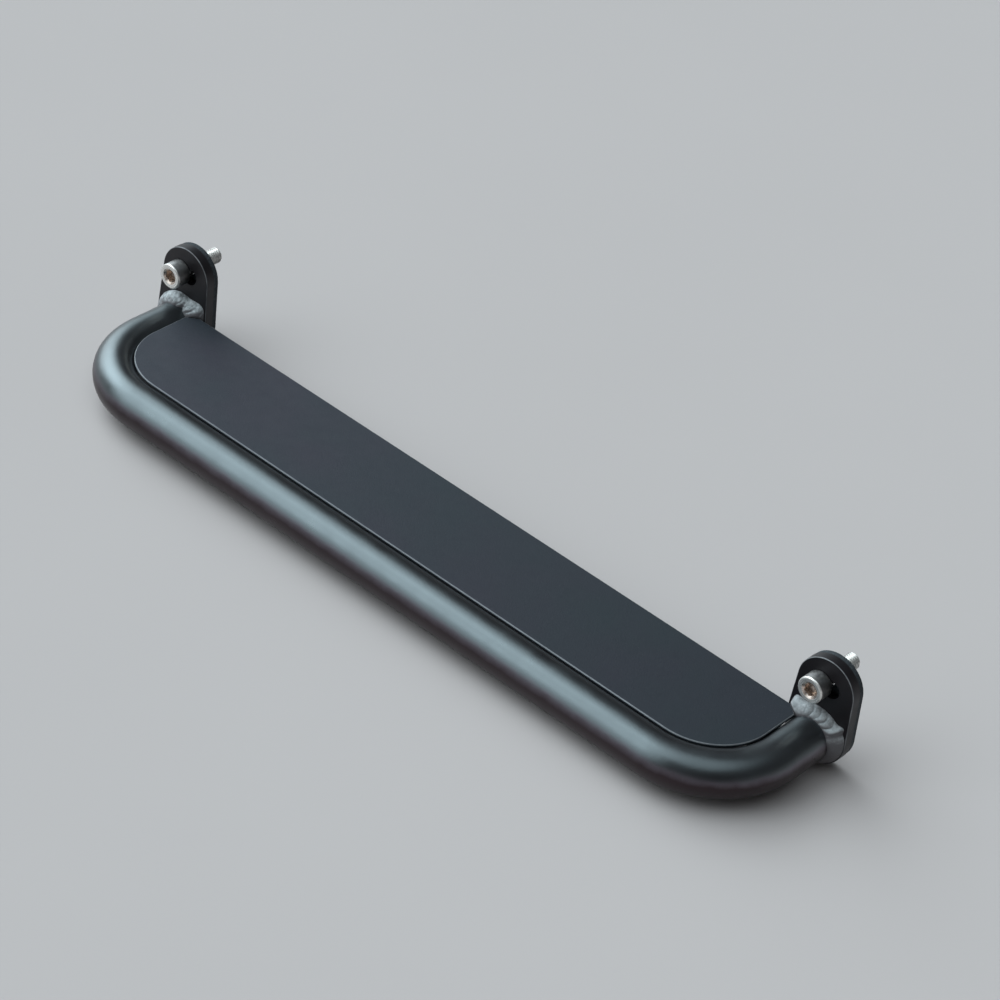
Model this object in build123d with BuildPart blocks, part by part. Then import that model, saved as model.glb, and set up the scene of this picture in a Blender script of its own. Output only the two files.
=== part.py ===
from build123d import *
import os

os.makedirs("parts", exist_ok=True)

# Millimetres. +X is forward, +Z is up, and Y = 0 is the plane where the board seats on the frame.
# The board reaches out to -Y, and the origin is midway between the two fixing bolts.

# Hoop tube
tube_dia = 22.2
tube_wall = 2.0
bolt_spacing = 400.0
lug_shift = 3.0
tube_drop = 27.5
hoop_reach = 75.0
bend_radius = 40.0
drain_dia = 5.0

# Lugs, spacers and slots
spacer_thk = 3.0
lug_thk = 5.0
lug_head_r = 15.2
lug_head_drop = 1.3
lug_foot_lift = 2.2
lug_edge_round = 0.5
spacer_inset = 0.2
spacer_edge_bevel = 0.3
slot_travel = 6.0

# Bolts, M8 socket heads
bolt_dia = 8.0
bolt_neck_dia = 7.2
bolt_head_dia = 13.0
bolt_head_high = 8.0
bolt_length = 25.0
bolt_socket_across = 6.0
bolt_socket_deep = 4.2
bolt_head_round = 0.7
bolt_tip_chamfer = 1.0
slot_clearance = 0.5
spacer_hole_clearance = 0.25

# Welds at the tube ends
weld_leg = 4.9
weld_bulge = 0.75

# Deck plate
deck_thk = 3.0
deck_below_crown = 1.8
deck_edge_offset = 8.35
deck_bevel_in = 1.6
deck_land = 1.3
deck_top_round = 0.7
deck_inboard = 9.5
deck_corner_x = 5.6
deck_corner_y = 4.4

# Deck supports below the plate
rail_dia = 16.0
rail_wall = 1.5
rail_below_deck = 1.2
rail_inboard = 23.0
bar_wide = 24.0
bar_thk = 4.0
bar_pitch = 130.0
bar_edge_round = 0.6
stud_dia = 5.0
stud_length = 12.5
stud_tip_chamfer = 0.6
stud_clearance = 0.25
stud_pitch = 18.0

# Derived places
tube_r = tube_dia / 2
lug_face = spacer_thk + lug_thk
bolt_rear_x = -bolt_spacing / 2
bolt_front_x = bolt_spacing / 2
leg_rear_x = bolt_rear_x + lug_shift
leg_front_x = bolt_front_x + lug_shift
board_mid_x = lug_shift
lug_foot_r = tube_r + weld_leg + lug_edge_round
slot_wide = bolt_dia + 2 * slot_clearance
deck_top_z = tube_r - tube_drop - deck_below_crown
deck_under_z = deck_top_z - deck_thk
rail_z = deck_under_z - rail_below_deck - rail_dia / 2
bar_xs = {
    "cross_bar_rear": board_mid_x - bar_pitch,
    "cross_bar_mid": board_mid_x,
    "cross_bar_front": board_mid_x + bar_pitch,
}
stud_mid = (rail_inboard + rail_dia / 2 + hoop_reach - tube_r) / 2
stud_rows = (stud_mid - stud_pitch / 2, stud_mid + stud_pitch / 2)
cut_margin = 1.0


def save(solid, label):
    solid.label = label
    export_step(solid, "parts/" + label + ".step")


# Hoop: one hollow tube, down from the rear lug, round two bends and back to the front lug.
with BuildPart() as hoop_tube:
    with BuildLine(Plane.XY.offset(-tube_drop)) as hoop_path:
        FilletPolyline(
            (leg_rear_x, -lug_face),
            (leg_rear_x, -hoop_reach),
            (leg_front_x, -hoop_reach),
            (leg_front_x, -lug_face),
            radius=bend_radius,
        )
    with BuildSketch(Plane(origin=(leg_rear_x, -lug_face, -tube_drop), z_dir=(0, -1, 0))):
        Circle(tube_r)
        Circle(tube_r - tube_wall, mode=Mode.SUBTRACT)
    sweep()
    # Drain holes through the lower wall, so that no water stays in the closed tube.
    with BuildSketch(Plane.XY.offset(-tube_drop - tube_r - cut_margin)):
        with Locations(
            (leg_rear_x + bend_radius, -hoop_reach),
            (leg_front_x - bend_radius, -hoop_reach),
        ):
            Circle(drain_dia / 2)
    extrude(amount=tube_wall + 2 * cut_margin, mode=Mode.SUBTRACT)
save(hoop_tube.part, "hoop_tube")


# Inner rail: a thinner tube between the two legs, its ends coped to the hoop.
with BuildPart() as inner_rail:
    with BuildSketch(Plane.YZ.offset(leg_rear_x)):
        with Locations((-rail_inboard, rail_z)):
            Circle(rail_dia / 2)
            Circle(rail_dia / 2 - rail_wall, mode=Mode.SUBTRACT)
    extrude(amount=bolt_spacing)
    with BuildSketch(Plane.XZ):
        with Locations((leg_rear_x, -tube_drop), (leg_front_x, -tube_drop)):
            Circle(tube_r)
    extrude(amount=hoop_reach, mode=Mode.SUBTRACT)
save(inner_rail.part, "inner_rail")


def cross_bar(bar_x):
    """Flat bar under the deck, coped over the rail at one end and the hoop at the other."""
    with BuildPart() as bar:
        with BuildSketch(Plane.XY.offset(deck_under_z)):
            with Locations((bar_x, -(rail_inboard + hoop_reach) / 2)):
                Rectangle(bar_wide, hoop_reach - rail_inboard)
        extrude(amount=-bar_thk)
        long_edges = bar.edges().filter_by(Axis.Y).group_by(Axis.Z)[0]
        fillet(long_edges, radius=bar_edge_round)
        with BuildSketch(Plane.YZ.offset(bar_x - bar_wide)):
            with Locations((-hoop_reach, -tube_drop)):
                Circle(tube_r)
            with Locations((-rail_inboard, rail_z)):
                Circle(rail_dia / 2)
        extrude(amount=2 * bar_wide, mode=Mode.SUBTRACT)
        with BuildSketch(Plane.XY.offset(deck_under_z)):
            with Locations(*[(bar_x, -row) for row in stud_rows]):
                Circle(stud_dia / 2 + stud_clearance)
        extrude(amount=-bar_thk, mode=Mode.SUBTRACT)
    return bar.part


for bar_name, bar_x in bar_xs.items():
    save(cross_bar(bar_x), bar_name)


# Deck plate: it follows the inside of the hoop through both bends. Its lower edge is beveled
# all round, so that the plate nests over the shoulder of the tube without touching it.
with BuildPart() as deck_plate:
    with BuildSketch(Plane.XY.offset(deck_top_z)) as deck_outline:
        with BuildLine():
            deck_rear = leg_rear_x + deck_edge_offset
            deck_front = leg_front_x - deck_edge_offset
            deck_out = -hoop_reach + deck_edge_offset
            FilletPolyline(
                (deck_rear, -deck_inboard - deck_corner_y),
                (deck_rear, deck_out),
                (deck_front, deck_out),
                (deck_front, -deck_inboard - deck_corner_y),
                radius=bend_radius - deck_edge_offset,
            )
            Polyline(
                (deck_front, -deck_inboard - deck_corner_y),
                (deck_front - deck_corner_x, -deck_inboard),
                (deck_rear + deck_corner_x, -deck_inboard),
                (deck_rear, -deck_inboard - deck_corner_y),
            )
        make_face()
    extrude(amount=-deck_thk)
    under_face = deck_plate.faces().sort_by(Axis.Z)[0]
    hoop_side = under_face.outer_wire().edges().sort_by(Axis.Y)[:-1]
    chamfer(hoop_side, length=deck_bevel_in, length2=deck_thk - deck_land, reference=under_face)
    top_edges = deck_plate.faces().sort_by(Axis.Z)[-1].outer_wire().edges()
    fillet(top_edges, radius=deck_top_round)
    # Studs welded under the plate, so that no fixing shows on the walking side.
    with BuildSketch(Plane.XY.offset(deck_under_z)):
        with Locations(*[(x, -row) for x in bar_xs.values() for row in stud_rows]):
            Circle(stud_dia / 2)
    extrude(amount=-stud_length)
    stud_tips = deck_plate.edges().filter_by(GeomType.CIRCLE).group_by(Axis.Z)[0]
    chamfer(stud_tips, length=stud_tip_chamfer)
save(deck_plate.part, "deck_plate")


def lug_outline(mid_x, inset):
    """Outline that the lug, its pad and its weld share: a round head and a slightly wider round foot."""
    with Locations((mid_x, -lug_head_drop)):
        Circle(lug_head_r - inset)
    with Locations((mid_x, lug_foot_lift - tube_drop)):
        Circle(lug_foot_r - inset)
    make_hull()


def lug(bolt_x):
    """Fixing lug, slotted to the front of the bolt."""
    with BuildPart() as plate:
        with BuildSketch(Plane.XZ.offset(spacer_thk)):
            lug_outline(bolt_x + lug_shift, 0)
        extrude(amount=lug_thk)
        rim = plate.faces().sort_by(Axis.Y)[0].outer_wire().edges()
        fillet(rim, radius=lug_edge_round)
        with BuildSketch(Plane.XZ.offset(spacer_thk)):
            with Locations((bolt_x + slot_travel / 2, 0)):
                SlotCenterToCenter(slot_travel, slot_wide)
        extrude(amount=lug_thk, mode=Mode.SUBTRACT)
    return plate.part


save(lug(bolt_rear_x), "lug_rear")
save(lug(bolt_front_x), "lug_front")


def spacer(bolt_x):
    """Isolating pad between the lug and the frame, a little smaller than the lug all round."""
    with BuildPart() as pad:
        with BuildSketch(Plane.XZ):
            lug_outline(bolt_x + lug_shift, spacer_inset)
        extrude(amount=spacer_thk)
        rim = pad.faces().sort_by(Axis.Y)[-1].outer_wire().edges()
        chamfer(rim, length=spacer_edge_bevel)
        with BuildSketch(Plane.XZ):
            with Locations((bolt_x, 0)):
                Circle(bolt_dia / 2 + spacer_hole_clearance)
        extrude(amount=spacer_thk, mode=Mode.SUBTRACT)
    return pad.part


save(spacer(bolt_rear_x), "spacer_rear")
save(spacer(bolt_front_x), "spacer_front")


def weld(leg_x):
    """Fillet weld round the tube end, slightly crowned, and cut short where it meets the lug's rim."""
    toe = tube_r + weld_leg
    chord_mid_r = tube_r + weld_leg / 2
    chord_mid_y = -lug_face - weld_leg / 2
    crown = weld_bulge / 2 ** 0.5
    with BuildPart() as ring:
        with BuildSketch(Plane.XY.offset(-tube_drop)):
            with BuildLine():
                Polyline(
                    (leg_x + tube_r, -lug_face - weld_leg),
                    (leg_x + tube_r, -lug_face),
                    (leg_x + toe, -lug_face),
                )
                ThreePointArc(
                    (leg_x + toe, -lug_face),
                    (leg_x + chord_mid_r + crown, chord_mid_y - crown),
                    (leg_x + tube_r, -lug_face - weld_leg),
                )
            make_face()
        revolve(axis=Axis((leg_x, 0, -tube_drop), (0, 1, 0)))
        with BuildSketch(Plane.XZ.offset(lug_face)):
            lug_outline(leg_x, lug_edge_round)
        extrude(amount=weld_leg, mode=Mode.INTERSECT)
    return ring.part


save(weld(leg_rear_x), "weld_rear")
save(weld(leg_front_x), "weld_front")


def bolt(bolt_x):
    """Socket head bolt: a slimmer neck through the lug and pad, then the full-size free end."""
    with BuildPart() as body:
        with BuildSketch(Plane.XZ.offset(lug_face)):
            with Locations((bolt_x, 0)):
                Circle(bolt_head_dia / 2)
        extrude(amount=bolt_head_high)
        with BuildSketch(Plane.XZ.offset(lug_face)):
            with Locations((bolt_x, 0)):
                Circle(bolt_neck_dia / 2)
        extrude(amount=-lug_face)
        with BuildSketch(Plane.XZ):
            with Locations((bolt_x, 0)):
                Circle(bolt_dia / 2)
        extrude(amount=lug_face - bolt_length)
        fillet(body.edges().filter_by(GeomType.CIRCLE).sort_by(Axis.Y)[0], radius=bolt_head_round)
        chamfer(body.edges().filter_by(GeomType.CIRCLE).sort_by(Axis.Y)[-1], length=bolt_tip_chamfer)
        with BuildSketch(Plane.XZ.offset(lug_face + bolt_head_high)):
            with Locations((bolt_x, 0)):
                RegularPolygon(bolt_socket_across / 2, 6, major_radius=False)
        extrude(amount=-bolt_socket_deep, mode=Mode.SUBTRACT)
    return body.part


save(bolt(bolt_rear_x), "bolt_rear")
save(bolt(bolt_front_x), "bolt_front")
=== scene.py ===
import math
import random

import bmesh
import bpy
from mathutils import Matrix, Vector, noise
from mathutils.bvhtree import BVHTree


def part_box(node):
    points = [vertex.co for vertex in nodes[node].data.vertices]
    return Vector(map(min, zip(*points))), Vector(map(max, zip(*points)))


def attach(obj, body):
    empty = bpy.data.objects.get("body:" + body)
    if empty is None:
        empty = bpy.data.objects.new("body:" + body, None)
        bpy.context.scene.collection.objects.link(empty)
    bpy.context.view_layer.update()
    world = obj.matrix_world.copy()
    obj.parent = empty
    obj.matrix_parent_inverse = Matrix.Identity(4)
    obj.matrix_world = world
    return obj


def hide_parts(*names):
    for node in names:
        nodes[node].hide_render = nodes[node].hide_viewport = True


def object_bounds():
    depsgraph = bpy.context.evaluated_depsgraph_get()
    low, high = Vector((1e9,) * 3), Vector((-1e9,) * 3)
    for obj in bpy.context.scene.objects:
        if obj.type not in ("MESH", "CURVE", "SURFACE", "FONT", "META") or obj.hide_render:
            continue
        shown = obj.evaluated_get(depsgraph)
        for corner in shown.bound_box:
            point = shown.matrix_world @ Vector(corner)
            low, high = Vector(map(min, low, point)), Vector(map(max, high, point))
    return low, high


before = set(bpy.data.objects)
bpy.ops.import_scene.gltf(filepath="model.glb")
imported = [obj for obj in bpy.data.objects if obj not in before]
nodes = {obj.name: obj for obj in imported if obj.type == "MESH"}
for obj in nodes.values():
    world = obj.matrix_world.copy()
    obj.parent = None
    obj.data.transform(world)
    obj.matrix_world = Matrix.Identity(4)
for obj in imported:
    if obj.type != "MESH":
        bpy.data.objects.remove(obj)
cad_low, cad_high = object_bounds()

MM = 0.001
TAU = 2 * math.pi

# Places read from the frame
LUG_LOW, LUG_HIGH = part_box("lug_rear")
LUG_FACE_Y = LUG_LOW.y
HOOP_LOW, HOOP_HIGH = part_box("hoop_tube")
TUBE_Z = (HOOP_LOW.z + HOOP_HIGH.z) / 2
TUBE_R = (HOOP_HIGH.z - HOOP_LOW.z) / 2
HOOP_OUT_Y = HOOP_LOW.y + TUBE_R
WELD_LEG = LUG_FACE_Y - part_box("weld_rear")[0].y
RAIL_LOW, RAIL_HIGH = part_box("inner_rail")
RAIL_R = (RAIL_HIGH.z - RAIL_LOW.z) / 2
RAIL_Y = (RAIL_LOW.y + RAIL_HIGH.y) / 2
RAIL_Z = (RAIL_LOW.z + RAIL_HIGH.z) / 2
BAR_UNDER_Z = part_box("cross_bar_mid")[0].z
DECK_LOW, DECK_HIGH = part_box("deck_plate")
STUD_TIP_Z = DECK_LOW.z
BAR_NAMES = ("cross_bar_rear", "cross_bar_mid", "cross_bar_front")


def middle_x(node):
    low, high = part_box(node)
    return (low.x + high.x) / 2


# Camera: the photograph's own view, solved from the board's outline
CAMERA_PLACE = Vector((0.778206, -1.065997, 0.953809))
CAMERA_RIGHT = Vector((0.740183, 0.658642, 0.135350))
CAMERA_DOWN = Vector((0.479961, -0.376550, -0.792368))
CAMERA_AHEAD = Vector((-0.470921, 0.651460, -0.594839))
FOCAL_PX = 3503.37
IMAGE_PX = 1000
SENSOR_MM = 36.0
CLIP_NEAR = 0.05
CLIP_FAR = 50.0


def make_camera():
    data = bpy.data.cameras.new("camera")
    data.sensor_fit = "HORIZONTAL"
    data.sensor_width = SENSOR_MM
    data.lens = FOCAL_PX * SENSOR_MM / IMAGE_PX
    data.clip_start = CLIP_NEAR
    data.clip_end = CLIP_FAR
    camera = bpy.data.objects.new("camera", data)
    bpy.context.scene.collection.objects.link(camera)
    turn = Matrix((CAMERA_RIGHT, -CAMERA_DOWN, -CAMERA_AHEAD)).transposed()
    camera.matrix_world = Matrix.Translation(CAMERA_PLACE) @ turn.to_4x4()
    bpy.context.scene.camera = camera


make_camera()
bpy.context.scene.view_settings.view_transform = "Standard"


# Node helpers for the materials
NOISE_LOW, NOISE_HIGH = 0.3, 0.7


class Shader:
    """A material and the few calls that build its nodes. Noise scales are in cells per metre."""

    def __init__(self, name, colour, roughness, metallic=0.0):
        self.mat = bpy.data.materials.new(name)
        self.mat.use_nodes = True
        self.mat.diffuse_color = (*colour, 1.0)
        self.tree = self.mat.node_tree
        self.bsdf = self.tree.nodes["Principled BSDF"]
        self.bsdf.inputs["Base Color"].default_value = (*colour, 1.0)
        self.bsdf.inputs["Roughness"].default_value = roughness
        self.bsdf.inputs["Metallic"].default_value = metallic
        source = self.add("ShaderNodeTexCoord")
        self.coords = source.outputs["Object"]
        self.normals = source.outputs["Normal"]

    def add(self, kind, **settings):
        node = self.tree.nodes.new(kind)
        for key, value in settings.items():
            setattr(node, key, value)
        return node

    def wire(self, output, socket):
        self.tree.links.new(output, socket)

    def parts(self, vector):
        """A vector's X, Y and Z, by name."""
        node = self.add("ShaderNodeSeparateXYZ")
        self.wire(vector, node.inputs[0])
        return node.outputs

    def noise(self, scale, detail, roughness=0.55, vector=None):
        """Noise in 0 to 1."""
        node = self.add("ShaderNodeTexNoise")
        node.inputs["Scale"].default_value = scale
        node.inputs["Detail"].default_value = detail
        node.inputs["Roughness"].default_value = roughness
        self.wire(vector or self.coords, node.inputs["Vector"])
        return node.outputs["Fac"]

    def cells(self, scale):
        """Distance from the nearest of many scattered points."""
        node = self.add("ShaderNodeTexVoronoi")
        node.inputs["Scale"].default_value = scale
        self.wire(self.coords, node.inputs["Vector"])
        return node.outputs["Distance"]

    def math(self, operation, a, b=None):
        node = self.add("ShaderNodeMath", operation=operation)
        for socket, value in zip(node.inputs, (a, b)):
            if value is None:
                continue
            if isinstance(value, (int, float)):
                socket.default_value = value
            else:
                self.wire(value, socket)
        return node.outputs[0]

    def spread(self, value, low, high, out_low, out_high):
        """Map a value from one range to another, clamped."""
        node = self.add("ShaderNodeMapRange", clamp=True)
        self.wire(value, node.inputs["Value"])
        names = ("From Min", "From Max", "To Min", "To Max")
        for name, number in zip(names, (low, high, out_low, out_high)):
            node.inputs[name].default_value = number
        return node.outputs["Result"]

    def wander(self, low, high, scale, detail):
        """A value that drifts between two numbers over the surface."""
        return self.spread(self.noise(scale, detail), NOISE_LOW, NOISE_HIGH, low, high)

    def blend(self, factor, a, b):
        """Mix two colours, each a tuple or an output."""
        node = self.add("ShaderNodeMix", data_type="RGBA")
        self.wire(factor, node.inputs["Factor"])
        for socket, value in ((node.inputs[6], a), (node.inputs[7], b)):
            if isinstance(value, tuple):
                socket.default_value = (*value, 1.0)
            else:
                self.wire(value, socket)
        return node.outputs[2]

    def bump(self, *layers):
        """Stack height layers, each (height output, distance in metres)."""
        normal = None
        for height, distance in layers:
            node = self.add("ShaderNodeBump")
            node.inputs["Distance"].default_value = distance
            node.inputs["Strength"].default_value = 1.0
            self.wire(height, node.inputs["Height"])
            if normal is not None:
                self.wire(normal, node.inputs["Normal"])
            normal = node.outputs["Normal"]
        self.wire(normal, self.bsdf.inputs["Normal"])

    def colour(self, output):
        self.wire(output, self.bsdf.inputs["Base Color"])

    def rough(self, output):
        self.wire(output, self.bsdf.inputs["Roughness"])

    def gloss(self, level, sheen):
        """Strength and tint of the reflections."""
        self.bsdf.inputs["Specular IOR Level"].default_value = level
        self.bsdf.inputs["Specular Tint"].default_value = (*sheen, 1.0)


# Materials
def tint(colour, factor):
    return tuple(c * factor for c in colour)


def cast(colour, factors):
    """A colour with its red, green and blue scaled one by one."""
    return tuple(c * f for c, f in zip(colour, factors))


# Tints of the reflections: tubes and welds, the deck, the lugs, a tube's flank and its lower side
# The blue tints of the tube, weld and deck reflections stand in for the sky: painted reflection colour
COOL_SHEEN = (0.80, 0.95, 1.0)
DECK_SHEEN = (0.84, 0.90, 1.0)
PLAIN_SHEEN = (0.97, 0.95, 1.0)
# Painted shade: dimmer, warmer reflections on a tube's flank and lower side
FLANK_SHADE_SHEEN = (0.92, 0.83, 0.98)
UNDERSIDE_SHADE_SHEEN = (0.26, 0.175, 0.195)
PAINT_IOR = 1.70
# Colours of wear and dust; the rubbed edges' lighter colours are partly painted highlights
RUBBED_PAINT_AND_HIGHLIGHT = (0.26, 0.27, 0.28)
PAINT_DUST = (0.30, 0.29, 0.28)
RUBBED_DECK_AND_HIGHLIGHT = (0.21, 0.22, 0.23)
DECK_DUST = (0.24, 0.25, 0.26)
# Shares of a coat's red, green and blue where its tone shifts: the deck's rear end painted lighter as if
# lit, a weld's downward faces painted darker as shade, and yellowed steel
DECK_REAR_LIGHT_CAST = (2.5, 2.1, 2.05)
COOLER_REAR_LIGHT_CAST = (1.9, 2.15, 1.9)
COOLER_FRONT_CAST = (0.9, 1.2, 1.0)
WELD_SHADE_CAST = (0.42, 0.37, 0.38)
YELLOWED_CAST = (1.05, 1.02, 0.95)


def edge_band(s, axis):
    """1 on the rounded edges of a plate whose faces look along the axis, and 0 on its faces and sides."""
    along = s.math("ABSOLUTE", s.parts(s.normals)[axis])
    off_sides = s.spread(along, 0.12, 0.4, 0.0, 1.0)
    off_faces = s.spread(along, 0.88, 0.985, 1.0, 0.0)
    return s.math("MULTIPLY", off_sides, off_faces)


def dust_mask(s, cells, density):
    """Tiny sparse specks, only where a face looks up."""
    specks = s.spread(s.cells(cells), 0.0, 0.12, 1.0, 0.0)
    sparse = s.spread(s.noise(36, 2), 0.66 - density, 0.72, 0.0, 1.0)
    facing = s.spread(s.parts(s.normals)["Z"], 0.4, 0.95, 0.0, 0.55)
    return s.math("MULTIPLY", s.math("MULTIPLY", specks, sparse), facing)


def satin_paint(name, colour, roughness, gloss, sheen, shaded_underside=False, edge_axis=None):
    """Satin black coat over metal: soft mottling, fine orange peel and dust.

    A tube's flank and lower side can have their reflections dimmed and warmed the more they face down, as
    painted shade, and with an edge axis a plate's edges are lighter, as wear and as a painted highlight."""
    s = Shader(name, colour, roughness)
    s.bsdf.inputs["IOR"].default_value = PAINT_IOR
    s.gloss(gloss, sheen)
    if shaded_underside:
        # Painted shade: the reflections are dimmed and warmed the more the face looks down
        height = s.math("ADD", s.parts(s.normals)["Z"], s.wander(-0.05, 0.05, 120, 4))
        shade_by_facing = s.blend(s.spread(height, 0.30, 0.55, 0.0, 1.0), FLANK_SHADE_SHEEN, sheen)
        underside_shade = s.blend(s.spread(height, 0.08, 0.39, 0.0, 1.0), UNDERSIDE_SHADE_SHEEN, shade_by_facing)
        s.wire(underside_shade, s.bsdf.inputs["Specular Tint"])
    mottle = s.spread(s.noise(55, 4), 0.35, 0.65, 0.0, 1.0)
    base = s.blend(mottle, tint(colour, 0.84), tint(colour, 1.16))
    shade = s.wander(roughness - 0.04, roughness + 0.05, 90, 5)
    if edge_axis:
        # Wear and a painted highlight: the lug's edges are lighter, more so higher up
        higher = s.spread(s.parts(s.coords)["Z"], LUG_LOW.z, LUG_HIGH.z, 0.25, 1.0)
        patchy = s.math("MULTIPLY", higher, s.spread(s.noise(110, 3), 0.35, 0.65, 0.35, 1.0))
        wear_and_highlight = s.math("MULTIPLY", edge_band(s, edge_axis), patchy)
        base = s.blend(wear_and_highlight, base, RUBBED_PAINT_AND_HIGHLIGHT)
        shade = s.math("SUBTRACT", shade, s.math("MULTIPLY", wear_and_highlight, 0.2))
    s.colour(s.blend(dust_mask(s, 620, 0.12), base, PAINT_DUST))
    s.rough(shade)
    s.bump((s.noise(1500, 2), 0.022 * MM), (s.noise(210, 2), 0.04 * MM))
    return s.mat


# The depth of the grooves between a weld's ripples, kept on its points and read by its paint, which darkens
# them as painted shade
GROOVE = "groove"


def weld_paint(name, colour, roughness, contrast, groove_shade):
    """Grey coat over a cast-looking bead: blotchy, with bright specks and dark pits, shade painted into the
    grooves between ripples and onto faces that look down.
    """
    s = Shader(name, colour, roughness)
    s.gloss(0.6, COOL_SHEEN)
    blotch = s.spread(s.noise(480, 4, 0.6), 0.34, 0.66, 0.0, 1.0)
    base = s.blend(blotch, tint(colour, 1 - contrast), tint(colour, 1 + contrast))
    speck = s.spread(s.noise(1300, 2, 0.6), 0.62, 0.72, 0.0, contrast)
    base = s.blend(speck, base, tint(colour, 2.0))
    groove = s.add("ShaderNodeAttribute", attribute_name=GROOVE).outputs["Fac"]
    pit = s.spread(s.noise(1100, 3, 0.6), 0.6, 0.76, 0.0, 0.6)
    # Painted shade in the grooves between ripples, joined with random dark pits
    groove_shade_and_pits = s.math("MAXIMUM", s.math("MULTIPLY", groove, groove_shade), pit)
    # Painted shade: faces that look down are darker
    shade_by_facing = s.spread(s.parts(s.normals)["Z"], 0.16, 0.52, 0.0, 1.0)
    shaded = s.blend(shade_by_facing, cast(colour, WELD_SHADE_CAST), base)
    s.colour(s.blend(groove_shade_and_pits, shaded, tint(colour, 0.25)))
    s.rough(s.wander(roughness - 0.06, roughness + 0.1, 260, 4))
    s.bump((s.noise(1700, 3), 0.08 * MM), (s.noise(620, 3), 0.12 * MM))
    return s.mat


def deck_coat(name, colour):
    """Matte coat with a very fine grain, a slow drift in tone, light specks, a rear end painted lighter as
    if lit, and a rubbed edge whose lighter colour is partly a painted highlight.
    """
    s = Shader(name, colour, 0.6)
    s.gloss(0.36, DECK_SHEEN)
    # Painted light: the coat is lighter towards the deck's rear end
    lengthways = s.spread(s.parts(s.coords)["X"], DECK_LOW.x, DECK_HIGH.x, 0.0, 1.0)
    warmer = s.blend(lengthways, cast(colour, DECK_REAR_LIGHT_CAST), colour)
    cooler = s.blend(lengthways, cast(colour, COOLER_REAR_LIGHT_CAST), cast(colour, COOLER_FRONT_CAST))
    drift = s.spread(s.noise(13, 3), 0.36, 0.64, 0.0, 1.0)
    tone = s.blend(drift, warmer, cooler)
    grain = s.wander(0.0, 1.0, 2600, 2)
    grained = s.blend(s.math("MULTIPLY", grain, 0.5), tone, tint(colour, 0.72))
    # Wear and a painted highlight: the rounded top edge is lighter
    rubbed_and_highlit = s.math("MULTIPLY", edge_band(s, "Z"), s.spread(s.noise(160, 3), 0.3, 0.6, 0.75, 1.0))
    edged = s.blend(rubbed_and_highlit, grained, RUBBED_DECK_AND_HIGHLIGHT)
    s.colour(s.blend(dust_mask(s, 760, 0.1), edged, DECK_DUST))
    s.rough(s.math("SUBTRACT", s.wander(0.54, 0.66, 120, 4), s.math("MULTIPLY", rubbed_and_highlit, 0.28)))
    s.bump((s.noise(3000, 3), 0.08 * MM), (s.noise(700, 2), 0.05 * MM))
    return s.mat


def rubber(name, colour):
    """Matte moulded rubber with a coarse cast texture and pale scuffs."""
    s = Shader(name, colour, 0.78)
    s.bsdf.inputs["Specular IOR Level"].default_value = 0.35
    scuff = s.spread(s.noise(900, 5, 0.7), 0.5, 0.7, 0.0, 0.8)
    s.colour(s.blend(scuff, colour, tint(colour, 2.6)))
    s.rough(s.wander(0.7, 0.86, 160, 3))
    s.bump((s.noise(2400, 3), 0.12 * MM), (s.noise(950, 2), 0.14 * MM))
    return s.mat


def turned_steel(name, colour, roughness, metallic):
    """Bright plated steel with faint turning marks round the piece's own Y axis and faint stains."""
    s = Shader(name, colour, roughness, metallic)
    place = s.parts(s.coords)
    square = s.math("ADD", s.math("POWER", place["X"], 2), s.math("POWER", place["Z"], 2))
    ring = s.add("ShaderNodeCombineXYZ")
    s.wire(s.math("SQRT", square), ring.inputs["X"])
    lines = s.noise(4200, 2, 0.6, ring.outputs[0])
    stain = s.spread(s.noise(260, 4), 0.45, 0.7, 0.0, 0.55)
    s.colour(s.blend(stain, colour, tint(colour, 0.76)))
    s.rough(s.spread(lines, NOISE_LOW, NOISE_HIGH, roughness - 0.04, roughness + 0.06))
    s.bump((lines, 0.012 * MM), (s.noise(900, 2), 0.008 * MM))
    return s.mat


def dull_steel(name, colour, roughness, metallic, cells):
    """Plated or stained steel: cloudy, slightly yellowed and finely pitted."""
    s = Shader(name, colour, roughness, metallic)
    cloud = s.spread(s.noise(cells, 5, 0.65), 0.35, 0.7, 0.0, 1.0)
    s.colour(s.blend(cloud, tint(colour, 0.75), cast(colour, YELLOWED_CAST)))
    s.rough(s.wander(roughness - 0.06, roughness + 0.12, 700, 3))
    s.bump((s.noise(1900, 3), 0.02 * MM))
    return s.mat


FRAME_PAINT = satin_paint("frame_paint", (0.009, 0.0075, 0.0085), 0.31, 0.95, COOL_SHEEN, shaded_underside=True)
LUG_PAINT = satin_paint("lug_paint", (0.008, 0.0065, 0.0075), 0.42, 0.22, PLAIN_SHEEN, edge_axis="Y")
WELD_PAINT = weld_paint("weld_paint", (0.26, 0.265, 0.27), 0.42, contrast=0.32, groove_shade=0.6)
# The rear weld's coat is a lighter copy of the weld paint: painted light
LIT_WELD_PAINT = weld_paint("lit_weld_paint", (0.36, 0.38, 0.39), 0.46, contrast=0.5, groove_shade=0.3)
DECK_COAT = deck_coat("deck_coating", (0.017, 0.019, 0.026))
PAD_RUBBER = rubber("pad_rubber", (0.028, 0.034, 0.039))
STAINLESS = turned_steel("stainless", (0.80, 0.78, 0.75), 0.24, metallic=0.7)
# The head's side is darker steel than its face: painted shade of the dark parts it mirrors
SHADED_HEAD_SIDE_STEEL = dull_steel("shaded_head_side_steel", (0.33, 0.33, 0.34), 0.40, metallic=1.0, cells=600)
# The socket's warm light brown is a painted reflection
SOCKET_REFLECTION_STEEL = dull_steel("socket_reflection_steel", (0.74, 0.64, 0.585), 0.24, metallic=1.0, cells=1400)
ZINC = dull_steel("zinc_steel", (0.55, 0.55, 0.56), 0.36, metallic=0.85, cells=330)

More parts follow.
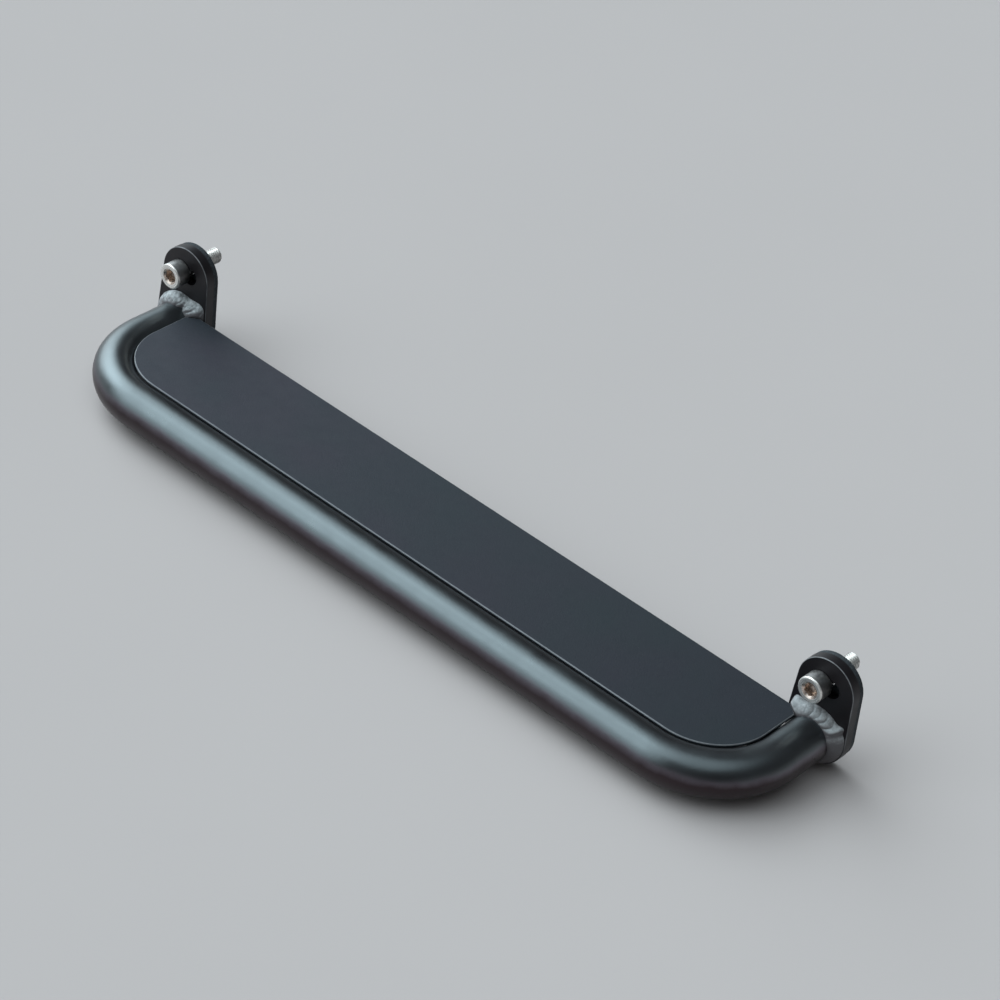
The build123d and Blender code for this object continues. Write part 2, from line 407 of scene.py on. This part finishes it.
CAD_MATERIALS = (
    (FRAME_PAINT, ("hoop_tube", "inner_rail", *BAR_NAMES)),
    (LUG_PAINT, ("lug_rear", "lug_front")),
    (DECK_COAT, ("deck_plate",)),
    (PAD_RUBBER, ("spacer_rear", "spacer_front")),
)
for material, node_names in CAD_MATERIALS:
    for node_name in node_names:
        nodes[node_name].data.materials.clear()
        nodes[node_name].data.materials.append(material)


# Mesh helpers
ROWS_PER_PITCH = 10
THREAD_ROOT_SHARE = 0.18
THREAD_FLANK_SHARE = 0.66
WELD_SHARP_DEG = 60


def finish_piece(name, bm, place, slot, *materials, sharp_deg=32):
    """Turn a bmesh, built about its own origin, into a piece that rides on the board."""
    bmesh.ops.recalc_face_normals(bm, faces=bm.faces)
    mesh = bpy.data.meshes.new(name)
    bm.to_mesh(mesh)
    bm.free()
    for entry in materials:
        mesh.materials.append(entry)
    mesh.shade_smooth()
    mesh.set_sharp_from_angle(angle=math.radians(sharp_deg))
    piece = bpy.data.objects.new(name, mesh)
    piece.location = place
    bpy.context.scene.collection.objects.link(piece)
    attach(piece, "root")
    return piece


def skin(bm, rings, closed=False):
    """Faces between rings of equal count, and the rows of points. Open stacks get a cap at each end."""
    rows = [[bm.verts.new(p) for p in ring] for ring in rings]
    pairs = list(zip(rows, rows[1:]))
    if closed:
        pairs.append((rows[-1], rows[0]))
    for a, b in pairs:
        for i in range(len(a)):
            j = (i + 1) % len(a)
            bm.faces.new((a[i], a[j], b[j], b[i]))
    if not closed:
        bm.faces.new(rows[0])
        bm.faces.new(rows[-1])
    return rows


def ring_reach(radius):
    """A radius as a function of the angle, from such a function or a plain number."""
    return radius if callable(radius) else (lambda theta: radius)


def hex_r(theta, across):
    """Distance from the centre to a hexagon's side, for its width across flats."""
    step = math.pi / 3
    return across / 2 / math.cos((theta + step / 2) % step - step / 2)


def smooth_step(x):
    x = min(max(x, 0.0), 1.0)
    return x * x * (3 - 2 * x)


def thread_depth(travel, theta, pitch):
    """0 at the root and 1 at the crest of a right-hand thread with flat crests."""
    phase = (travel / pitch - theta / TAU) % 1.0
    rise = 1.0 - abs(2 * phase - 1.0)
    return min(max((rise - THREAD_ROOT_SHARE) / THREAD_FLANK_SHARE, 0.0), 1.0)


# Bolts: socket heads with turned faces, and a real thread on the free end
HEAD_R = 6.5 * MM
HEAD_HIGH = 8.0 * MM
HEAD_ROUND = 0.8 * MM
HEAD_ROUND_STEPS = 5
HEAD_FACE_R = HEAD_R - HEAD_ROUND
HEAD_FACE_SUPPORT = 0.1 * MM
HEAD_FOOT_CUT = 0.3 * MM
HEAD_FOOT_CUT_HIGH = 0.35 * MM
SOCKET_ACROSS = 6.0 * MM
SOCKET_DEEP = 4.2 * MM
SOCKET_DRILL_SHARE = 0.86
SOCKET_CONE = 1.3 * MM
SOCKET_CONE_TIP_R = 0.25 * MM
LEAD_R = 4.2 * MM
LEAD_DEEP = 0.9 * MM
LEAD_EDGE = 0.08 * MM
LEAD_EDGE_DEEP = 0.03 * MM
NECK_R = 3.6 * MM
NECK_FILLET = 0.3 * MM
NECK_END_Y = -0.2 * MM
THREAD_R = 4.0 * MM
THREAD_ROOT_R = 3.35 * MM
THREAD_PITCH = 1.25 * MM
TIP_CHAMFER = 1.0 * MM
BOLT_SIDES = 60
# Where the socket's and the head's side faces are told from the rest
SOCKET_FACES_DOWN = 0.02 * MM
SOCKET_FACES_R = 4.0 * MM
SIDE_FACES_PAST = 0.1 * MM
SOCKET_INDEX, SIDE_INDEX = 1, 2


def bolt_ring(y, radius):
    """Points round the Y axis; y and radius are numbers or functions of the angle."""
    reach, depth = ring_reach(radius), ring_reach(y)
    angles = [TAU * i / BOLT_SIDES for i in range(BOLT_SIDES)]
    return [(reach(a) * math.cos(a), depth(a), reach(a) * math.sin(a)) for a in angles]


def bolt_thread(y, tip):
    """The thread's radius at one place along the free end, as a function of the angle."""
    fade = smooth_step(y / THREAD_PITCH)
    chamfer = THREAD_R - max(0.0, y - (tip - TIP_CHAMFER))

    def radius(theta):
        crest = THREAD_ROOT_R + (THREAD_R - THREAD_ROOT_R) * thread_depth(y, theta, THREAD_PITCH)
        return min(NECK_R + (crest - NECK_R) * fade, chamfer)

    return radius


def bolt_piece(node):
    low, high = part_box(node)
    place = Vector((middle_x(node), 0, (low.z + high.z) / 2))
    top, bearing, tip = low.y, low.y + HEAD_HIGH, high.y
    socket_floor = top + SOCKET_DEEP
    lead_slope = LEAD_DEEP / (LEAD_R - SOCKET_ACROSS / 2)

    def socket(theta):
        return hex_r(theta, SOCKET_ACROSS)

    rings = [
        bolt_ring(socket_floor + SOCKET_CONE, SOCKET_CONE_TIP_R),
        bolt_ring(socket_floor, lambda t: socket(t) * SOCKET_DRILL_SHARE),
        bolt_ring(socket_floor, socket),
        bolt_ring(lambda t: top + (LEAD_R - socket(t)) * lead_slope, socket),
        bolt_ring(top + LEAD_EDGE_DEEP, LEAD_R),
        bolt_ring(top, LEAD_R + LEAD_EDGE),
        bolt_ring(top, HEAD_FACE_R - HEAD_FACE_SUPPORT),
        bolt_ring(top, HEAD_FACE_R),
    ]
    for k in range(1, HEAD_ROUND_STEPS + 1):
        turn = math.pi / 2 * k / HEAD_ROUND_STEPS
        sunk = HEAD_ROUND * (1 - math.cos(turn))
        inset = HEAD_ROUND * (1 - math.sin(turn))
        rings.append(bolt_ring(top + sunk, HEAD_R - inset))
    rings += [
        bolt_ring(bearing - HEAD_FOOT_CUT_HIGH, HEAD_R),
        bolt_ring(bearing, HEAD_R - HEAD_FOOT_CUT),
        bolt_ring(bearing, NECK_R + NECK_FILLET),
        bolt_ring(bearing + NECK_FILLET, NECK_R),
        bolt_ring(NECK_END_Y, NECK_R),
    ]
    rows = int(tip / THREAD_PITCH * ROWS_PER_PITCH)
    for k in range(rows + 1):
        y = tip * k / rows
        rings.append(bolt_ring(y, bolt_thread(y, tip)))
    bm = bmesh.new()
    skin(bm, rings)
    for face in bm.faces:
        middle = face.calc_center_median()
        out = math.hypot(middle.x, middle.z)
        if top + SOCKET_FACES_DOWN < middle.y < bearing and out < SOCKET_FACES_R:
            face.material_index = SOCKET_INDEX
        if top + HEAD_ROUND < middle.y < bearing + SIDE_FACES_PAST and out > NECK_R + NECK_FILLET:
            face.material_index = SIDE_INDEX
    coats = (STAINLESS, SOCKET_REFLECTION_STEEL, SHADED_HEAD_SIDE_STEEL)
    piece = finish_piece(node + "_threaded", bm, place, "stainless", *coats)
    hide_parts(node)


bolt_piece("bolt_rear")
bolt_piece("bolt_front")


# Ring welds: a hand-laid fillet between each lug's face and the tube, rippled above and smooth below
WELD_TURN_STEPS = 432
WELD_CROSS_STEPS = 18
WELD_SWELL = 0.70 * MM
WELD_SWELL_BELOW = 0.55
WELD_SINK = 0.25 * MM
ABOVE_GAIN = 0.9
RIPPLES = 24
RIPPLE_SIZES = (0.65, 1.25)
RIPPLE_HIGH = 0.42 * MM
RIPPLE_LEAST = 0.12
RIPPLE_LAG = 0.6
RIPPLE_FADE_DEG = 16
RIPPLE_ROUNDNESS = 0.6
GROOVE_BELOW = 0.62
GROOVE_GAIN = 1.9
GROOVE_ENDS_GAIN = 3
# How far legs and swell wander, as shares of themselves, and how often round the tube
WANDER_BEATS = (2, 3, 5)
LUG_LEG_WANDER = 0.025
TUBE_LEG_WANDER = 0.05
SWELL_WANDER = 0.15
# A finer layer of lumps over the first
FINER_BY = 2.3
FINER_SHARE = 0.5
# Each lump: angle and half-width in degrees, then extra reach on lug and tube and extra swell in mm
REAR_LUMPS = (
    (47, 17, 4.3, 0.5, 0.55),
    (72, 6, 0.0, -1.4, -0.45),
    (98, 13, 0.1, 0.6, 0.60),
    (130, 12, 0.0, 0.2, 0.40),
)
FRONT_LUMPS = (
    (133, 11, 3.4, 0.2, 0.30),
    (141, 7, 0.0, 0.0, 1.45),
    (111, 12, 0.1, 0.5, 0.55),
    (41, 6, 2.4, 0.0, 0.25),
    (24, 13, 0.9, 0.5, -0.10),
)
# The lug's flat face, round the tube's axis: its foot's arc sits higher than the tube, its sides lean in
LUG_EDGE_ROUND = 0.5 * MM
LUG_FACE_FOOT_R = (LUG_HIGH.x - LUG_LOW.x) / 2 - LUG_EDGE_ROUND
LUG_FOOT_LIFT = LUG_LOW.z + LUG_EDGE_ROUND + LUG_FACE_FOOT_R - TUBE_Z
LUG_SIDE_LEAN = math.radians(3.1)
LUG_SIDE_FROM = math.radians(11)
LEAST_COSINE = 0.2
# A bead stops this far short of the deck beside it
DECK_CLEAR = 0.32 * MM
CLOSE_ENOUGH = 0.01 * MM
deck_tree = BVHTree.FromPolygons(
    [v.co for v in nodes["deck_plate"].data.vertices],
    [tuple(p.vertices) for p in nodes["deck_plate"].data.polygons],
)


def clear_of_deck(point, axis_point):
    """Draw a point in towards the tube's axis, to where the way out to it meets the deck."""
    outwards = (point - axis_point).normalized()
    reach = (point - axis_point).length
    radius = min(TUBE_R, reach)
    while radius < reach:
        gap = deck_tree.find_nearest(axis_point + outwards * radius)[3] - DECK_CLEAR
        if gap < CLOSE_ENOUGH:
            break
        radius = min(radius + gap, reach)
    return axis_point + outwards * radius


def turned_by(a, b):
    """Signed difference of two angles, from minus pi to pi."""
    return (a - b + math.pi) % TAU - math.pi


def lug_reach(theta):
    """Distance from the tube's axis to the edge of the lug's flat face, in one direction round the axis."""
    turn = math.atan2(math.sin(theta), abs(math.cos(theta)))
    if turn > LUG_SIDE_FROM:
        side = LUG_FACE_FOOT_R + LUG_FOOT_LIFT * math.sin(LUG_SIDE_LEAN)
        return side / max(math.cos(turn - LUG_SIDE_LEAN), LEAST_COSINE)
    across = LUG_FOOT_LIFT * math.cos(turn)
    return LUG_FOOT_LIFT * math.sin(turn) + math.sqrt(LUG_FACE_FOOT_R**2 - across**2)


def ring_weld(node, material, seed, lumps, fine_lump, lumps_per_m, rippled):
    """Fillet weld with ripples between the two angles of rippled, and smoother outside them."""
    rnd = random.Random(seed)
    beats = [(k, rnd.uniform(0, TAU)) for k in WANDER_BEATS]
    sizes = [rnd.uniform(*RIPPLE_SIZES) for _ in range(RIPPLES)]
    place = Vector((middle_x(node), LUG_FACE_Y, TUBE_Z))
    rings = []
    grooves = []
    for i in range(WELD_TURN_STEPS):
        theta = TAU * i / WELD_TURN_STEPS
        cosine, sine = math.cos(theta), math.sin(theta)
        degrees = math.degrees(theta)
        above = smooth_step(0.5 + ABOVE_GAIN * sine)
        lively = smooth_step((degrees - rippled[0]) / RIPPLE_FADE_DEG)
        lively *= smooth_step((rippled[1] - degrees) / RIPPLE_FADE_DEG)
        wobble = sum(math.sin(k * theta + phase) / k for k, phase in beats)
        lug_leg = WELD_LEG * (1 - LUG_LEG_WANDER + LUG_LEG_WANDER * wobble)
        tube_leg = WELD_LEG * (1 + TUBE_LEG_WANDER * wobble * above)
        rising = WELD_SWELL_BELOW + (1 - WELD_SWELL_BELOW) * above
        swell = WELD_SWELL * (rising + SWELL_WANDER * wobble)
        for angle, half_width, lug_more, tube_more, swell_more in lumps:
            share = math.exp(-((turned_by(theta, math.radians(angle)) / math.radians(half_width)) ** 2))
            lug_leg += lug_more * MM * share
            tube_leg += tube_more * MM * share
            swell += swell_more * MM * share
        lug_leg = min(lug_leg, lug_reach(theta) - TUBE_R)
        slant = Vector((tube_leg, lug_leg)).normalized()
        ripple_high = RIPPLE_HIGH * (RIPPLE_LEAST + (1 - RIPPLE_LEAST) * lively)
        ring = []
        depths = []
        for j in range(WELD_CROSS_STEPS + 1):
            u = j / WELD_CROSS_STEPS
            across = 4 * u * (1 - u)
            beat = theta / TAU * RIPPLES + RIPPLE_LAG * across
            crest = math.sin(math.pi * (beat - math.floor(beat))) ** RIPPLE_ROUNDNESS
            ripple = crest * sizes[math.floor(beat) % RIPPLES]
            groove = smooth_step(GROOVE_GAIN * (GROOVE_BELOW - crest))
            # Groove depth, which the weld paint darkens as painted shade
            depths.append(lively * groove * min(1.0, GROOVE_ENDS_GAIN * across))
            spot = Vector((cosine, sine, seed)) * TUBE_R * lumps_per_m
            spot.z += u * WELD_LEG * lumps_per_m
            lump = noise.noise(spot) + FINER_SHARE * noise.noise(spot * FINER_BY)
            height = swell * across + ripple_high * ripple * across**RIPPLE_ROUNDNESS
            height += fine_lump * lump * math.sqrt(across)
            radial = TUBE_R + lug_leg * (1 - u) + height * slant.x
            out = tube_leg * u + height * slant.y
            if j == 0:
                out = -WELD_SINK
            if j == WELD_CROSS_STEPS:
                radial = TUBE_R - WELD_SINK
            point = Vector((radial * cosine, -out, radial * sine))
            if 0 < j < WELD_CROSS_STEPS and theta < math.pi:
                point = clear_of_deck(place + point, place + Vector((0, -out, 0))) - place
            ring.append(point)
        ring.append(Vector(((TUBE_R - WELD_SINK) * cosine, WELD_SINK, (TUBE_R - WELD_SINK) * sine)))
        rings.append(ring)
        grooves.append(depths + [0.0])
    bm = bmesh.new()
    layer = bm.verts.layers.float.new(GROOVE)
    for row, depths in zip(skin(bm, rings, closed=True), grooves):
        for vert, depth in zip(row, depths):
            vert[layer] = depth
    piece = finish_piece(node + "_beads", bm, place, "weld_paint", material, sharp_deg=WELD_SHARP_DEG)
    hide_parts(node)


ring_weld(
    "weld_rear",
    LIT_WELD_PAINT,
    seed=11,
    lumps=REAR_LUMPS,
    fine_lump=0.30 * MM,
    lumps_per_m=560,
    rippled=(20, 150),
)
ring_weld(
    "weld_front",
    WELD_PAINT,
    seed=4,
    lumps=FRONT_LUMPS,
    fine_lump=0.15 * MM,
    lumps_per_m=330,
    rippled=(30, 122),
)


# Small beads where the rail and the bars meet the tubes
BEAD_SIDES = 10
RAIL_BEAD_R = 1.5 * MM
BAR_BEAD_R = 1.3 * MM
BEAD_PITCH = 2.6 * MM
BEAD_VALLEY = 0.84
BEAD_HUMP = 0.2
BEAD_TAPER = 1.6
BEAD_END = 0.25


def small_bead(name, path, radius):
    """Rippled bead swept along a path of (point, outward) pairs, tapered at both ends."""
    lengths = [0.0]
    for (a, _), (b, _) in zip(path, path[1:]):
        lengths.append(lengths[-1] + (b - a).length)
    rings = []
    for i, (point, out) in enumerate(path):
        before = path[max(i - 1, 0)][0]
        after = path[min(i + 1, len(path) - 1)][0]
        along = (after - before).normalized()
        side = along.cross(out).normalized()
        out = side.cross(along).normalized()
        phase = (lengths[i] / BEAD_PITCH) % 1.0
        hump = max(0.0, 1 - (2 * phase - 1) ** 2) ** RIPPLE_ROUNDNESS
        to_end = min(lengths[i], lengths[-1] - lengths[i])
        taper = smooth_step(to_end / (BEAD_TAPER * radius) + BEAD_END)
        ring = []
        for k in range(BEAD_SIDES):
            turn = TAU * k / BEAD_SIDES
            reach = radius * taper * (BEAD_VALLEY + BEAD_HUMP * hump * max(math.cos(turn), 0.0))
            ring.append(point + out * (reach * math.cos(turn)) + side * (reach * math.sin(turn)))
        rings.append(ring)
    bm = bmesh.new()
    skin(bm, rings)
    finish_piece(name, bm, Vector((0, 0, 0)), "frame_paint", FRAME_PAINT, sharp_deg=WELD_SHARP_DEG)


RAIL_WELD_FROM = math.radians(150)
RAIL_WELD_TO = math.radians(390)
RAIL_WELD_STEPS = 90


def rail_weld(name, leg_x, inward):
    """Bead along the saddle where the rail's end meets a hoop leg, clear of the deck above."""
    path = []
    for i in range(RAIL_WELD_STEPS + 1):
        turn = RAIL_WELD_FROM + (RAIL_WELD_TO - RAIL_WELD_FROM) * i / RAIL_WELD_STEPS
        y = RAIL_Y + RAIL_R * math.cos(turn)
        z = RAIL_Z + RAIL_R * math.sin(turn)
        reach = math.sqrt(max(TUBE_R**2 - (z - TUBE_Z) ** 2, 0.0))
        point = Vector((leg_x + inward * reach, y, z))
        rail_out = Vector((0, math.cos(turn), math.sin(turn)))
        leg_out = Vector((inward * reach, 0, z - TUBE_Z)) / TUBE_R
        path.append((point, (rail_out + leg_out).normalized()))
    small_bead(name, path, RAIL_BEAD_R)


rail_weld("rail_weld_rear", middle_x("weld_rear"), 1)
rail_weld("rail_weld_front", middle_x("weld_front"), -1)

BAR_WELD_INSET = 1.6 * MM
BAR_WELD_STEPS = 44
BAR_WELD_LEAN = 0.7


def bar_weld(name, bar, y, lean):
    """Straight bead under a bar, along the line where it meets a tube."""
    low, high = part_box(bar)
    start, stop = low.x + BAR_WELD_INSET, high.x - BAR_WELD_INSET
    path = []
    for i in range(BAR_WELD_STEPS + 1):
        x = start + (stop - start) * i / BAR_WELD_STEPS
        path.append((Vector((x, y, BAR_UNDER_Z)), Vector((0, lean, -1)).normalized()))
    small_bead(name, path, BAR_BEAD_R)


rail_side_y = RAIL_Y - math.sqrt(RAIL_R**2 - (BAR_UNDER_Z - RAIL_Z) ** 2)
hoop_side_y = HOOP_OUT_Y + math.sqrt(TUBE_R**2 - (BAR_UNDER_Z - TUBE_Z) ** 2)
for bar in BAR_NAMES:
    bar_weld(bar + "_rail_weld", bar, rail_side_y, -BAR_WELD_LEAN)
    bar_weld(bar + "_hoop_weld", bar, hoop_side_y, BAR_WELD_LEAN)


# Washers, nuts and stud threads under the bars
STUD_R = 2.5 * MM
STUD_PITCH = 0.8 * MM
STUD_TIP_BAND = 0.05 * MM
STUD_THREAD_PROUD = 0.14 * MM
STUD_THREAD_SUNK = 0.03 * MM
STUD_THREAD_FROM = 0.3 * MM
STUD_THREAD_CAP_R = 2.2 * MM
STUD_THREAD_RUNOUT = 0.6
STUD_TIP_BARE = 0.65 * MM
WASHER_R = 5.0 * MM
WASHER_BORE_R = 2.75 * MM
WASHER_THK = 1.0 * MM
WASHER_SOFT = 0.15 * MM
NUT_ACROSS = 8.0 * MM
NUT_HIGH = 4.0 * MM
NUT_BORE_R = 2.66 * MM
NUT_COUNTERSINK = 0.35 * MM
NUT_FACE_R = NUT_ACROSS / 2 - 0.1 * MM
NUT_CORNER_R = NUT_ACROSS / 2 / math.cos(math.pi / 6)
NUT_CORNER_CUT = 0.55 * MM
NUT_CUT_LEVELS = 5
NUT_SIDES = 48
# Each nut is left at an angle of its own
NUT_TURN = 0.61


def stud_places():
    """Centres of the studs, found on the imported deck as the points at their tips."""
    tips = [v.co for v in nodes["deck_plate"].data.vertices if v.co.z < STUD_TIP_Z + STUD_TIP_BAND]
    groups = []
    for tip in tips:
        for group in groups:
            if (group[0].xy - tip.xy).length < 2 * STUD_R:
                group.append(tip)
                break
        else:
            groups.append([tip])
    places = []
    for group in groups:
        xs, ys = [p.x for p in group], [p.y for p in group]
        places.append(((min(xs) + max(xs)) / 2, (min(ys) + max(ys)) / 2))
    return places


def flat_ring(z, radius, turned=0.0):
    """Points round the Z axis; radius is a number or a function of the angle."""
    reach = ring_reach(radius)
    angles = [TAU * i / NUT_SIDES for i in range(NUT_SIDES)]
    return [(reach(a) * math.cos(a + turned), reach(a) * math.sin(a + turned), z) for a in angles]


def washer(name, place):
    """Flat washer with softened outer edges, hanging from its top face."""
    rings = [
        flat_ring(0, WASHER_BORE_R),
        flat_ring(0, WASHER_R - WASHER_SOFT),
        flat_ring(-WASHER_SOFT, WASHER_R),
        flat_ring(-WASHER_THK + WASHER_SOFT, WASHER_R),
        flat_ring(-WASHER_THK, WASHER_R - WASHER_SOFT),
        flat_ring(-WASHER_THK, WASHER_BORE_R),
    ]
    bm = bmesh.new()
    skin(bm, rings, closed=True)
    finish_piece(name, bm, place, "stainless", ZINC)


def nut(name, place, turned):
    """Hexagon nut with chamfered corners on both faces and a countersunk bore."""

    def cut_ring(face_z, inwards, share):
        """Outline at a share of the way along the corners' chamfer, from a face inwards."""
        limit = NUT_FACE_R + (NUT_CORNER_R - NUT_FACE_R) * share
        z = face_z + inwards * NUT_CORNER_CUT * share
        return flat_ring(z, lambda theta: min(hex_r(theta, NUT_ACROSS), limit), turned)

    shares = [k / NUT_CUT_LEVELS for k in range(NUT_CUT_LEVELS + 1)]
    rings = [flat_ring(0, NUT_BORE_R + NUT_COUNTERSINK, turned)]
    rings += [cut_ring(0, -1, share) for share in shares]
    rings += [cut_ring(-NUT_HIGH, 1, share) for share in reversed(shares)]
    rings += [
        flat_ring(-NUT_HIGH, NUT_BORE_R + NUT_COUNTERSINK, turned),
        flat_ring(-NUT_HIGH + NUT_COUNTERSINK, NUT_BORE_R, turned),
        flat_ring(-NUT_COUNTERSINK, NUT_BORE_R, turned),
    ]
    bm = bmesh.new()
    skin(bm, rings, closed=True)
    finish_piece(name, bm, place, "stainless", ZINC)


def stud_thread(name, place):
    """Rolled thread that stands just proud of the plain stud, from the nut to the stud's tip."""
    start = STUD_THREAD_FROM
    stop = BAR_UNDER_Z - WASHER_THK - (STUD_TIP_Z + STUD_TIP_BARE)
    rows = int((stop - start) / STUD_PITCH * ROWS_PER_PITCH)

    def thread_ring(down):
        fade = smooth_step(min(down - start, stop - down) / (STUD_THREAD_RUNOUT * STUD_PITCH))
        high = (STUD_THREAD_PROUD + STUD_THREAD_SUNK) * fade
        root = STUD_R - STUD_THREAD_SUNK
        return flat_ring(-down, lambda theta: root + high * thread_depth(down, -theta, STUD_PITCH))

    rings = [flat_ring(-start, STUD_THREAD_CAP_R)]
    rings += [thread_ring(start + (stop - start) * k / rows) for k in range(rows + 1)]
    rings.append(flat_ring(-stop, STUD_THREAD_CAP_R))
    bm = bmesh.new()
    skin(bm, rings)
    finish_piece(name, bm, place, "stainless", ZINC)


for number, (x, y) in enumerate(stud_places(), start=1):
    under_bar = Vector((x, y, BAR_UNDER_Z))
    under_washer = Vector((x, y, BAR_UNDER_Z - WASHER_THK))
    washer(f"washer_{number}", under_bar)
    nut(f"nut_{number}", under_washer, NUT_TURN * number)
    stud_thread(f"stud_thread_{number}", under_washer)


# Floor
FLOOR_COLOUR = (0.511, 0.473, 0.464)
FLOOR_SIZE = 40.0
FLOOR_DROP = 0.3 * MM


def make_floor():
    """Pale matte floor. Seen from below it is clear, so that the part's underside can be looked at."""
    s = Shader("floor", FLOOR_COLOUR, 0.9)
    s.bsdf.inputs["Specular IOR Level"].default_value = 0.2
    patches = s.wander(0.0, 1.0, 3, 3)
    s.colour(s.blend(patches, tint(FLOOR_COLOUR, 0.985), tint(FLOOR_COLOUR, 1.01)))
    mix = s.add("ShaderNodeMixShader")
    s.wire(s.add("ShaderNodeNewGeometry").outputs["Backfacing"], mix.inputs[0])
    s.wire(s.bsdf.outputs[0], mix.inputs[1])
    s.wire(s.add("ShaderNodeBsdfTransparent").outputs[0], mix.inputs[2])
    s.wire(mix.outputs[0], s.tree.nodes["Material Output"].inputs["Surface"])
    half = FLOOR_SIZE / 2
    corners = [(-half, -half, 0), (half, -half, 0), (half, half, 0), (-half, half, 0)]
    mesh = bpy.data.meshes.new("floor")
    mesh.from_pydata(corners, [], [(0, 1, 2, 3)])
    mesh.materials.append(s.mat)
    floor = bpy.data.objects.new("floor", mesh)
    floor.location.z = cad_low.z - FLOOR_DROP
    bpy.context.scene.collection.objects.link(floor)


# Light: a soft studio dome, pale at the horizon and dim overhead
DAYLIGHT = Vector((0.84, 0.95, 1.0))
HORIZON_LIGHT = (0.44, 0.44, 0.44, 1)
OVERHEAD_LIGHT = (0.08, 0.085, 0.09, 1)
OVERHEAD_FROM = 0.3
PANEL_CORE_DEG = 5
# Each soft panel: azimuth from +X towards +Y, elevation and half-width in degrees, and radiance
PANELS = (
    (168, 26, 34, 3.4),
    (180, 46, 33, 2.0),
    (-142, 49, 34, 1.85),
    (-123, 28, 32, 1.7),
    (-60, 80, 38, 1.1),
)
# Each dark flag, which dims the horizon: azimuth, elevation and half-width in degrees, and share left
FLAGS = (
    (119, 6, 32, 0.3),
    (-38, 6, 34, 0.3),
)


def dome_patch(tree, direction, azimuth, elevation, half_width, outside, inside):
    """Value that changes smoothly from outside a round patch of the dome to its core."""
    az, el = math.radians(azimuth), math.radians(elevation)
    middle = (math.cos(az) * math.cos(el), math.sin(az) * math.cos(el), math.sin(el))
    closeness = tree.nodes.new("ShaderNodeVectorMath")
    closeness.operation = "DOT_PRODUCT"
    closeness.inputs[1].default_value = middle
    tree.links.new(direction, closeness.inputs[0])
    fade = tree.nodes.new("ShaderNodeMapRange")
    fade.interpolation_type = "SMOOTHSTEP"
    fade.inputs["From Min"].default_value = math.cos(math.radians(half_width))
    fade.inputs["From Max"].default_value = math.cos(math.radians(PANEL_CORE_DEG))
    fade.inputs["To Min"].default_value = outside
    fade.inputs["To Max"].default_value = inside
    tree.links.new(closeness.outputs["Value"], fade.inputs["Value"])
    return fade.outputs["Result"]


def make_world():
    """The dome: flags dim its horizon, and wide panels that fade into each other are added to it."""
    world = bpy.data.worlds.new("studio")
    bpy.context.scene.world = world
    world.use_nodes = True
    tree = world.node_tree
    direction = tree.nodes.new("ShaderNodeTexCoord").outputs["Generated"]
    split = tree.nodes.new("ShaderNodeSeparateXYZ")
    tree.links.new(direction, split.inputs[0])
    ramp = tree.nodes.new("ShaderNodeValToRGB")
    stops = ramp.color_ramp.elements
    stops[0].position = 0.0
    stops[0].color = HORIZON_LIGHT
    stops[1].position = OVERHEAD_FROM
    stops[1].color = OVERHEAD_LIGHT
    tree.links.new(split.outputs["Z"], ramp.inputs[0])
    light = ramp.outputs[0]
    for azimuth, elevation, half_width, left in FLAGS:
        share = dome_patch(tree, direction, azimuth, elevation, half_width, 1.0, left)
        dimmed = tree.nodes.new("ShaderNodeVectorMath")
        dimmed.operation = "SCALE"
        tree.links.new(light, dimmed.inputs[0])
        tree.links.new(share, dimmed.inputs["Scale"])
        light = dimmed.outputs["Vector"]
    for azimuth, elevation, half_width, radiance in PANELS:
        share = dome_patch(tree, direction, azimuth, elevation, half_width, 0.0, 1.0)
        glow = tree.nodes.new("ShaderNodeVectorMath")
        glow.operation = "SCALE"
        glow.inputs[0].default_value = DAYLIGHT * radiance
        tree.links.new(share, glow.inputs["Scale"])
        total = tree.nodes.new("ShaderNodeVectorMath")
        total.operation = "ADD"
        tree.links.new(light, total.inputs[0])
        tree.links.new(glow.outputs["Vector"], total.inputs[1])
        light = total.outputs["Vector"]
    tree.links.new(light, tree.nodes["Background"].inputs["Color"])


make_floor()
make_world()
